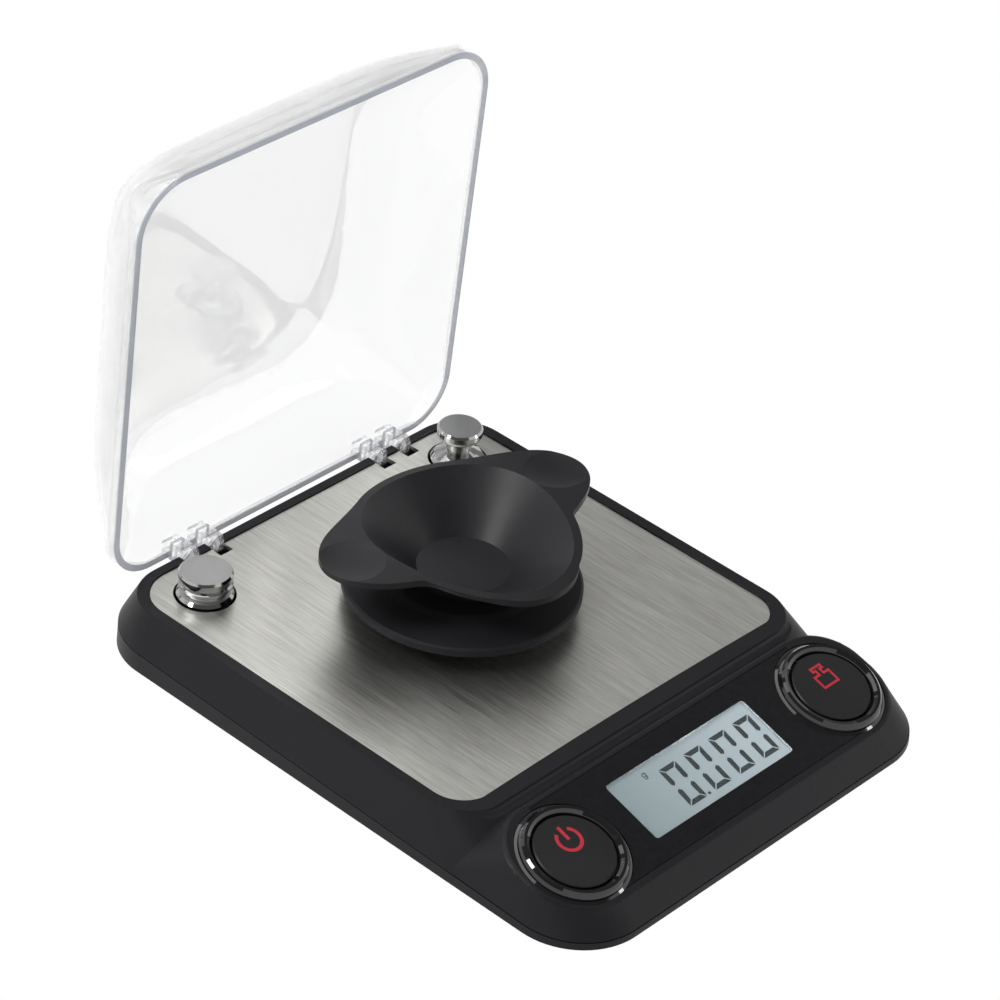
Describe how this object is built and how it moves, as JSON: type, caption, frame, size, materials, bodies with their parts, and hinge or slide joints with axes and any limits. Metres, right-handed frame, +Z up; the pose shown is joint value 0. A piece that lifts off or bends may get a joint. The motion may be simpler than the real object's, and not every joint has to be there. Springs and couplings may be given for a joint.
{
  "type": "digital milligram scale",
  "caption": "Pocket laboratory scale with a brushed deck, eared weighing pan on a round platform, hinged clear draft lid, sloping display panel and calibration weights in wells.",
  "frame": {"origin": "bottom centre of the whole part with its lid open, at table height", "axes": "+X to the user's right, +Y away from the user towards the lid hinge, +Z up"},
  "size_m": [0.0902, 0.13, 0.0935],
  "materials": {
    "shell": "soft-touch black moulded plastic",
    "belly": "fine-textured black moulded plastic",
    "steel": "brushed stainless steel, grain front to back",
    "clear": "clear moulded acrylic",
    "pin": "plain steel wire",
    "platform": "smooth satin black plastic",
    "pan": "finely textured black plastic",
    "alloy": "machined aluminium",
    "screw": "zinc-plated steel",
    "coating": "white silicone coating over the gauges",
    "board": "green glass-epoxy board",
    "chip": "black moulded package",
    "switch": "small tactile switch",
    "lcd": "grey-blue liquid crystal cell with dark teal segments",
    "backlight": "white diffuser",
    "elastomer": "striped conductive elastomer",
    "inlay": "gloss black panel",
    "lens": "clear lens",
    "ring": "high-gloss black",
    "cap": "satin black",
    "weight": "polished plating with a ground top face",
    "cell_can": "plain sleeved battery cell",
    "contact": "nickel-plated spring steel",
    "door": "fine-textured black moulded plastic",
    "lead": "thin insulated wires",
    "foot": "black rubber"
  },
  "bodies": {
    "base": {"top_housing": "shell", "bottom_housing": "belly", "deck_plate": "steel", "hinge_pins": "pin", "weighing_platform": "platform", "platform_carrier": "alloy", "load_cell": "alloy", "load_cell_base": "alloy", "load_cell_screws": "screw", "gauge_cover": "coating", "overload_stop": "screw", "main_board": "board", "controller_chip": "chip", "board_screws": "screw", "button_switches": "switch", "lcd_panel": "lcd", "lcd_backlight": "backlight", "lcd_connector": "elastomer", "panel_inlay": "inlay", "display_lens": "lens", "button_ring_left": "ring", "button_ring_right": "ring", "battery_front": "cell_can", "battery_back": "cell_can", "contact_plates": "contact", "battery_springs": "contact", "sensor_leads": "lead", "rubber_feet": "foot", "case_screws": "screw"},
    "lid": {"draft_lid": "clear"},
    "pan": {"weighing_pan": "pan"},
    "power_cap": {"power_button": "cap"},
    "mode_cap": {"mode_button": "cap"},
    "weight_left": {"calibration_weight_left": "weight"},
    "weight_right": {"calibration_weight_right": "weight"},
    "door": {"battery_door": "door"}
  },
  "joints": [
    {"name": "lid_hinge", "type": "hinge", "parent": "base", "child": "lid", "pos_m": [0, 0.04446, 0.0141], "axis": [-1, 0, 0], "range_deg": [-87.3, 0]},
    {"name": "power_button_press", "type": "slide", "parent": "base", "child": "power_cap", "axis": [0, 0.2857, -0.9583], "range_m": [0, 0.0003], "stiffness_N_per_m": 3000, "springref_m": -0.0002},
    {"name": "mode_button_press", "type": "slide", "parent": "base", "child": "mode_cap", "axis": [0, 0.2857, -0.9583], "range_m": [0, 0.0003], "stiffness_N_per_m": 3000, "springref_m": -0.0002},
    {"name": "pan_lift", "type": "slide", "parent": "base", "child": "pan", "axis": [0, 0, 1], "range_m": [0, 0.02]},
    {"name": "weight_left_lift", "type": "slide", "parent": "base", "child": "weight_left", "axis": [0, 0, 1], "range_m": [0, 0.022]},
    {"name": "weight_right_lift", "type": "slide", "parent": "base", "child": "weight_right", "axis": [0, 0, 1], "range_m": [0, 0.022]},
    {"name": "battery_door_slide", "type": "slide", "parent": "base", "child": "door", "axis": [0, -1, 0], "range_m": [0, 0.028]}
  ]
}
